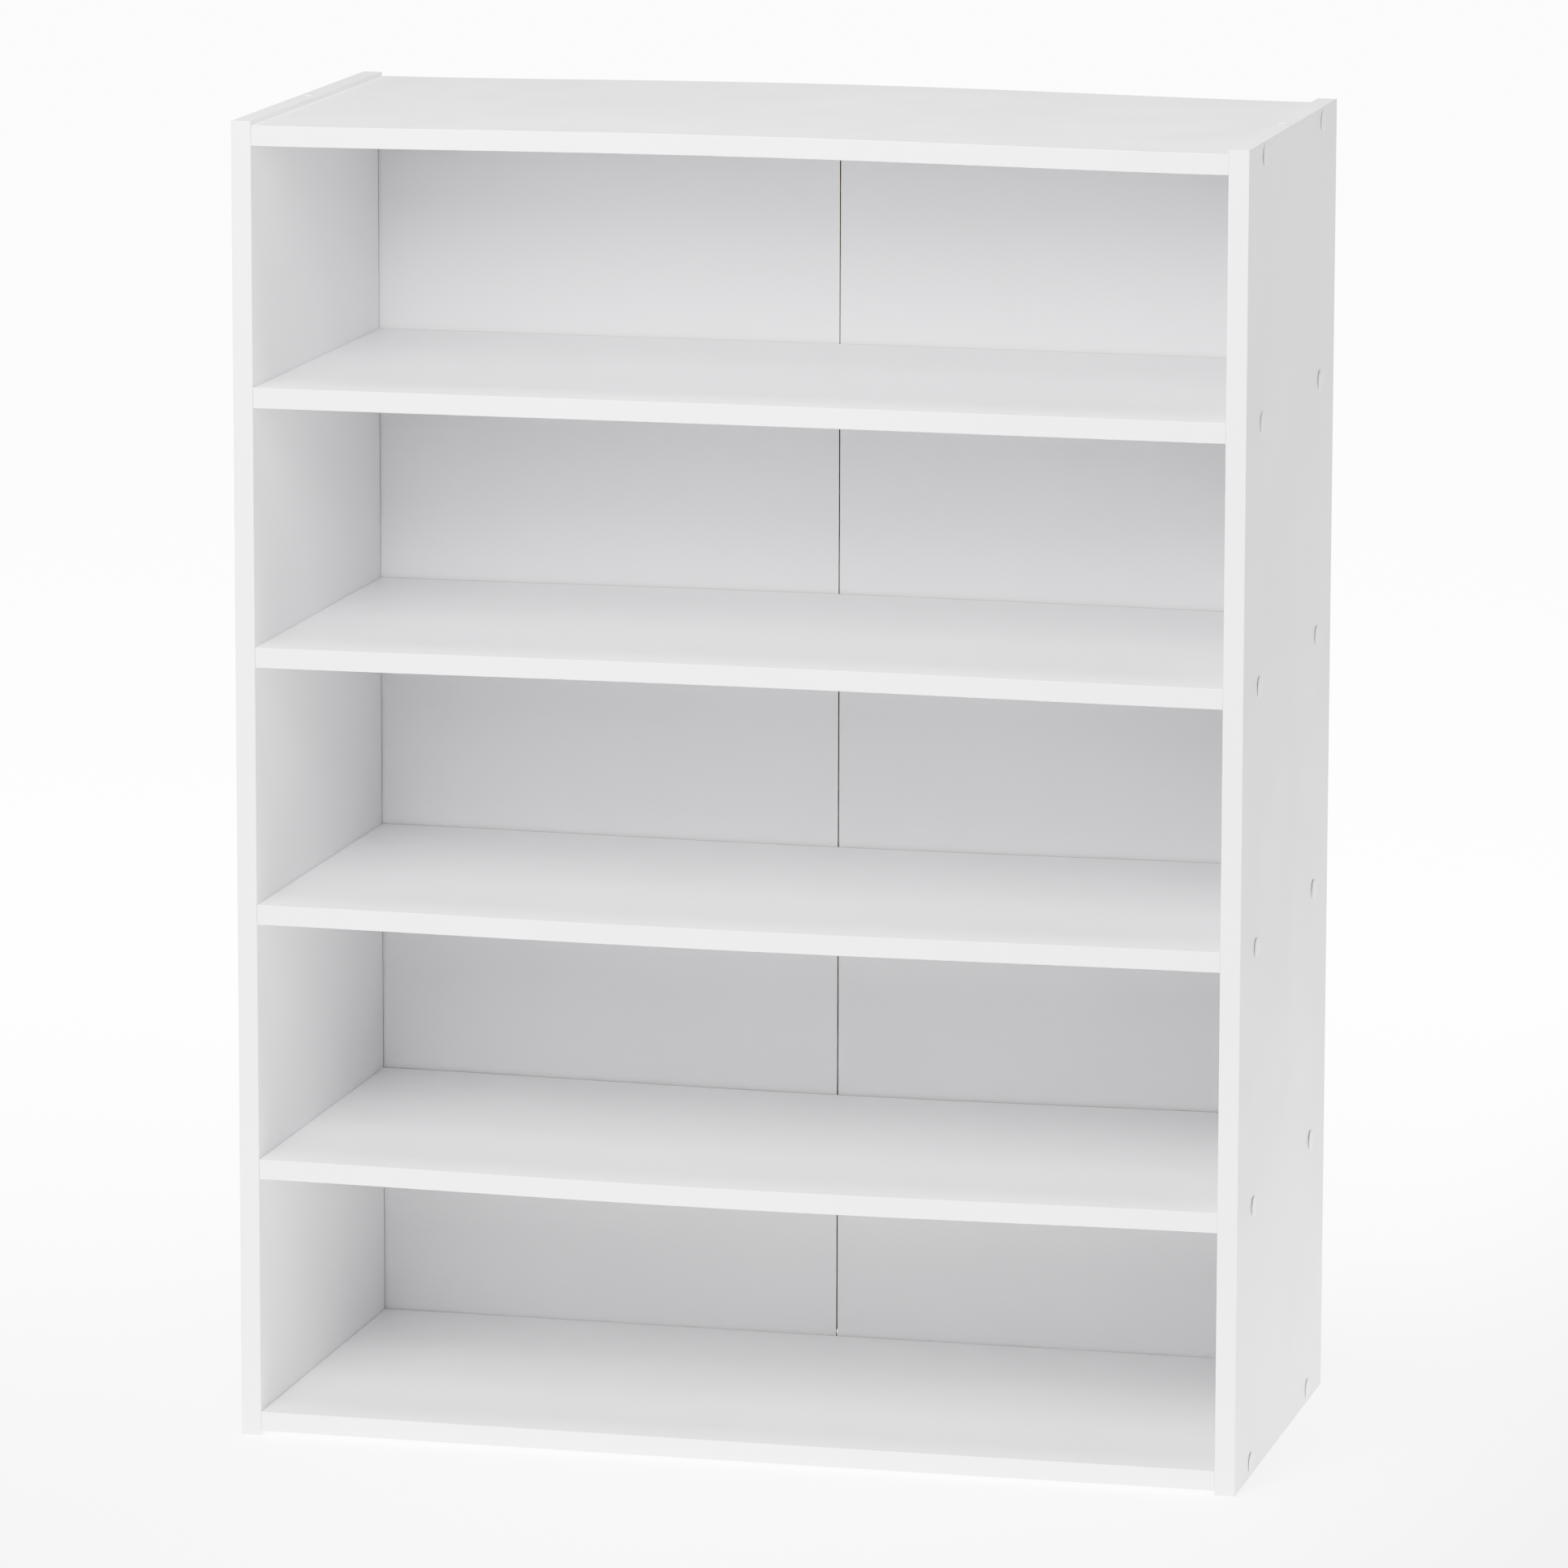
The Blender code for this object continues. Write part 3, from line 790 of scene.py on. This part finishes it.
def make_back(side):
    """Half of the back: a thin sheet, white in front and bare fibre behind and on its edges."""
    node = "back_panel_" + side
    low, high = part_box(node)
    shell = board_shell(low, high, (Y, X, Z), BACK_ARRIS)
    piece = mesh_piece("back_sheet_" + side, shell, back_print)
    paint_faces(piece, back_fibre, lambda normals: normals[:, Y] > -PRINT_FACING)
    weigh_normals(piece)
    finish_piece(piece, "back_laminate", node)


def make_tape():
    """The strip of paper tape that hinges the two halves of the back together, on their rear faces.

    Across its width it follows the sheets, dips into the seam between them as a cosine and thins to its two
    edges. It is straight from the bottom to the top.
    """
    left_low, left_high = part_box("back_panel_left")
    right_low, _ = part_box("back_panel_right")
    seam_half = (right_low[X] - left_high[X]) / 2
    across = np.linspace(-1, 1, TAPE_COLUMNS) * TAPE_WIDTH / 2
    dip = 0.5 + 0.5 * np.cos(np.pi * np.clip(across / (2 * seam_half), -1, 1))
    inner = left_high[Y] + TAPE_LIFT - TAPE_DIP * dip
    fade = np.clip((TAPE_WIDTH / 2 - np.abs(across)) / TAPE_TAPER, TAPE_EDGE_SHARE, 1)
    outer = inner + TAPE_THICKNESS * fade
    ring = np.concatenate([np.stack([across, inner], -1), np.stack([across, outer], -1)[::-1]])
    low_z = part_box("bottom_panel")[1][Z] + TAPE_STOP
    high_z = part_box("top_panel")[0][Z] - TAPE_STOP
    heights = np.linspace(low_z, high_z, TAPE_ROWS)
    grid = np.empty((len(heights), len(ring), 3))
    grid[..., X] = ring[None, :, 0]
    grid[..., Y] = ring[None, :, 1]
    grid[..., Z] = heights[:, None]
    piece = mesh_piece("seam_tape", closed_rows(grid), tape)
    weigh_normals(piece)
    finish_piece(piece, None)


def screw_shell():
    """A connector screw along X, its head's top at x = 0.

    Its rings go from the point along the threaded part, the plain shank, the cone and the chamfered head, and
    down into the hexagonal socket.
    """
    thickness = side_high[X] - side_low[X] - screw_sink
    tip = -screw_length
    thread_end = tip + POINT_LENGTH
    count = round((-thickness - thread_end) / THREAD_PITCH * THREAD_ROWS)
    threaded = np.linspace(thread_end, -thickness, count)
    rise = np.clip((threaded - thread_end) / POINT_LENGTH, THREAD_START_SHARE, 1)
    fade = rise * np.clip((-thickness - threaded) / THREAD_RUN_OUT, 0, 1)
    rings = [(tip, POINT_RADIUS)] + [(x, THREAD_ROOT_RADIUS) for x in threaded]
    rings += [
        (-thickness + SHANK_RADIUS - THREAD_ROOT_RADIUS, SHANK_RADIUS),
        (-HEAD_HEIGHT, SHANK_RADIUS),
        (-HEAD_EDGE, head_radius),
        (-SOCKET_EDGE, head_radius),
        (0, head_radius - SOCKET_EDGE),
        (0, SOCKET_CORNER_RADIUS + SOCKET_EDGE, 1),
        (-SOCKET_EDGE, SOCKET_CORNER_RADIUS, 1),
        (-SOCKET_DEPTH, SOCKET_CORNER_RADIUS, 1),
    ]
    thread = np.zeros(len(rings))
    thread[1 : 1 + count] = fade
    return turned_shell(rings, SCREW_SEGMENTS, thread)


def cap_shell(gap):
    """A screw cap along X, the side's face at x = 0.

    It has a hexagonal stub, a flat underside, a thin rim with both its edges rounded by quarter circles, and
    a crown whose height falls with the square of the radius.
    """
    low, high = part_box("cap_top_right_front")
    rim = (high[Y] - low[Y]) / 2
    stub_end = low[X] - side_high[X]
    shoulder = gap + CAP_RIM_THICKNESS
    turn = np.linspace(0, math.pi / 2, EDGE_STEPS + 1)
    short = CAP_EDGE_RADIUS * (1 - np.cos(turn))
    long = CAP_EDGE_RADIUS * (1 - np.sin(turn))
    low_edge = np.stack([gap + short, rim - long], -1)
    high_edge = np.stack([shoulder - long, rim - short], -1)
    crown_radius = rim - CAP_EDGE_RADIUS
    r = crown_radius * np.linspace(1, CAP_CENTRE_SHARE, CAP_CROWN_RINGS)[1:]
    crown = shoulder + CAP_CROWN_RISE * (1 - (r / crown_radius) ** 2)
    rings = [(stub_end, CAP_STUB_CORNER_RADIUS, 1), (gap, CAP_STUB_CORNER_RADIUS, 1)]
    rings += [(x, radius) for x, radius in [*low_edge, *high_edge, *np.stack([crown, r], -1)]]
    return turned_shell(rings, CAP_SEGMENTS)


def make_fastenings():
    """A screw and its cap at the front and the rear of both ends of every board."""
    count = len(LEVELS) * len(SIDES) * len(ROWS)
    gaps = iter(np.random.default_rng(CAP_SEED).uniform(*CAP_SEAT_GAPS, count))
    for level in LEVELS:
        for side, sign in SIDES.items():
            for row in ROWS:
                tag = f"{level}_{side}_{row}"
                y, z = screw_spot(level, side, row)
                outer_x = sign * side_high[X]
                screw = placed(screw_shell(), outward_from(sign, (outer_x - sign * screw_sink, y, z)))
                piece = mesh_piece("threaded_screw_" + tag, screw, zinc)
                finish_piece(piece, "zinc_steel", "screw_" + tag)
                cap = placed(cap_shell(next(gaps)), outward_from(sign, (outer_x, y, z)))
                piece = mesh_piece("domed_cap_" + tag, cap, cap_plastic)
                finish_piece(piece, "cap_plastic", "cap_" + tag)


def plug_shell(node):
    """A plug along X, the panel's top edge at x = 0: a peg with a chamfered end and a thin rounded head."""
    low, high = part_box(node)
    head = (high[Y] - low[Y]) / 2
    top = high[Z] - side_high[Z]
    peg_end = low[Z] - side_high[Z]
    peg = PLUG_BORE_RADIUS - HOLE_CLEARANCE
    turn = np.linspace(0, math.pi / 2, EDGE_STEPS + 1)
    edge_x = top - PLUG_EDGE_RADIUS * (1 - np.sin(turn))
    edge_radius = head - PLUG_EDGE_RADIUS * (1 - np.cos(turn))
    flat = head / 3
    rings = [(peg_end, peg - PLUG_PEG_CHAMFER), (peg_end + PLUG_PEG_CHAMFER, peg)]
    rings += [(PLUG_SEAT_GAP, peg), (PLUG_SEAT_GAP, head), *zip(edge_x, edge_radius), (top, flat)]
    return turned_shell(rings, CAP_SEGMENTS)


def make_plugs():
    """The plug in the middle of each side's top edge."""
    for side in SIDES:
        node = "edge_plug_" + side
        low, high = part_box(node)
        place = ((low[X] + high[X]) / 2, (low[Y] + high[Y]) / 2, side_high[Z])
        piece = mesh_piece("top_plug_" + side, placed(plug_shell(node), upright_at(place)), plug_plastic)
        finish_piece(piece, "plug_plastic", node)


# ---------------------------------------------------------------- camera, floor and light
def make_camera():
    """A long lens from in front, to the right and slightly above."""
    data = bpy.data.cameras.new("camera")
    data.sensor_width = CAMERA_SENSOR
    data.lens = CAMERA_LENS
    camera = bpy.data.objects.new("camera", data)
    bpy.context.scene.collection.objects.link(camera)
    yaw, pitch, roll = (math.radians(angle) for angle in CAMERA_ANGLES)
    turn = Matrix.Rotation(yaw, 3, "Z") @ Matrix.Rotation(pitch, 3, "X") @ Matrix.Rotation(roll, 3, "Y")
    right, forward, up = turn.col
    axes = Matrix((right, up, -forward)).transposed()
    camera.matrix_world = Matrix.Translation(CAMERA_PLACE) @ axes.to_4x4()
    bpy.context.scene.camera = camera


def make_floor():
    """A large white floor that glows: a little in front, more behind, and less far out on the right."""
    material, tree, shader = new_material("pale_floor", FLOOR_WHITE, FLOOR_ROUGHNESS)
    shader.inputs["Specular IOR Level"].default_value = 0.0
    shader.inputs["Emission Color"].default_value = (*NEUTRAL, 1.0)
    place = parts_of(tree, object_points(tree))
    glow = spread(tree, place[Y], *FLOOR_GLOW_DEPTHS, *FLOOR_GLOWS)
    fade = spread(tree, place[X], *FLOOR_FADE_REACH, 1.0, FLOOR_FADE)
    tree.links.new(times(tree, glow, fade), shader.inputs["Emission Strength"])
    half = FLOOR_SIZE / 2
    corners = [(-half, -half, 0), (half, -half, 0), (half, half, 0), (-half, half, 0)]
    mesh = bpy.data.meshes.new("floor")
    mesh.from_pydata(corners, [], [(0, 1, 2, 3)])
    mesh.materials.append(material)
    floor = bpy.data.objects.new("floor", mesh)
    bpy.context.scene.collection.objects.link(floor)


def make_world():
    """A faint even glow from all round."""
    world = bpy.data.worlds.new("studio")
    world.use_nodes = True
    background = world.node_tree.nodes["Background"]
    background.inputs["Color"].default_value = (*NEUTRAL, 1.0)
    background.inputs["Strength"].default_value = WORLD_GLOW
    bpy.context.scene.world = world


def soft_light(name, azimuth, elevation, distance, size, power, color):
    """A square soft box, aimed at the middle of the bookcase. Azimuth 0 is in front and 90 on the right."""
    data = bpy.data.lights.new(name, "AREA")
    data.shape = "SQUARE"
    data.size = size
    data.energy = power
    data.color = color
    light = bpy.data.objects.new(name, data)
    bpy.context.scene.collection.objects.link(light)
    around, up = math.radians(azimuth), math.radians(elevation)
    out = Vector((math.sin(around) * math.cos(up), -math.cos(around) * math.cos(up), math.sin(up)))
    light.location = Vector((0, 0, cad_high[Z] / 2)) + out * distance
    light.rotation_mode = "QUATERNION"
    light.rotation_quaternion = out.to_track_quat("Z", "Y")


side_low, side_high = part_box("side_panel_right")
screw_low, screw_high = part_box("screw_top_right_front")
head_radius = (screw_high[Y] - screw_low[Y]) / 2
screw_length = screw_high[X] - screw_low[X]
screw_sink = side_high[X] - screw_high[X]
shelf_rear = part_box("shelf_1")[1][Y]

side_foil = foil_finish("side_foil", WHITE_FOIL, roughness=0.42)
board_foil = foil_finish("board_foil", WHITE_FOIL, roughness=0.38)
shelf_foil = foil_finish("shelf_foil", WHITE_FOIL, roughness=0.38, rear=shelf_rear)
glue_line = glue_finish()
chipboard = chipboard_finish()
back_print = printed_finish(WHITE_PRINT, side_low[X] + PRINT_STOP)
back_fibre = fibreboard_finish()
tape = tape_finish()
cap_plastic = plastic_finish("cap_plastic", WHITE_CAP, roughness=0.33)
plug_plastic = plastic_finish("plug_plastic", WHITE_PLUG, roughness=0.38)
zinc = zinc_finish()

for side, sign in SIDES.items():
    make_side(side, sign)
    make_back(side)
for level in LEVELS:
    make_board(level)
make_tape()
make_fastenings()
make_plugs()

make_camera()
make_floor()
make_world()
for name, setting in SOFT_LIGHTS.items():
    soft_light(name, *setting)
view = bpy.context.scene.view_settings
view.view_transform = "AgX"
view.look = "AgX - Very High Contrast"
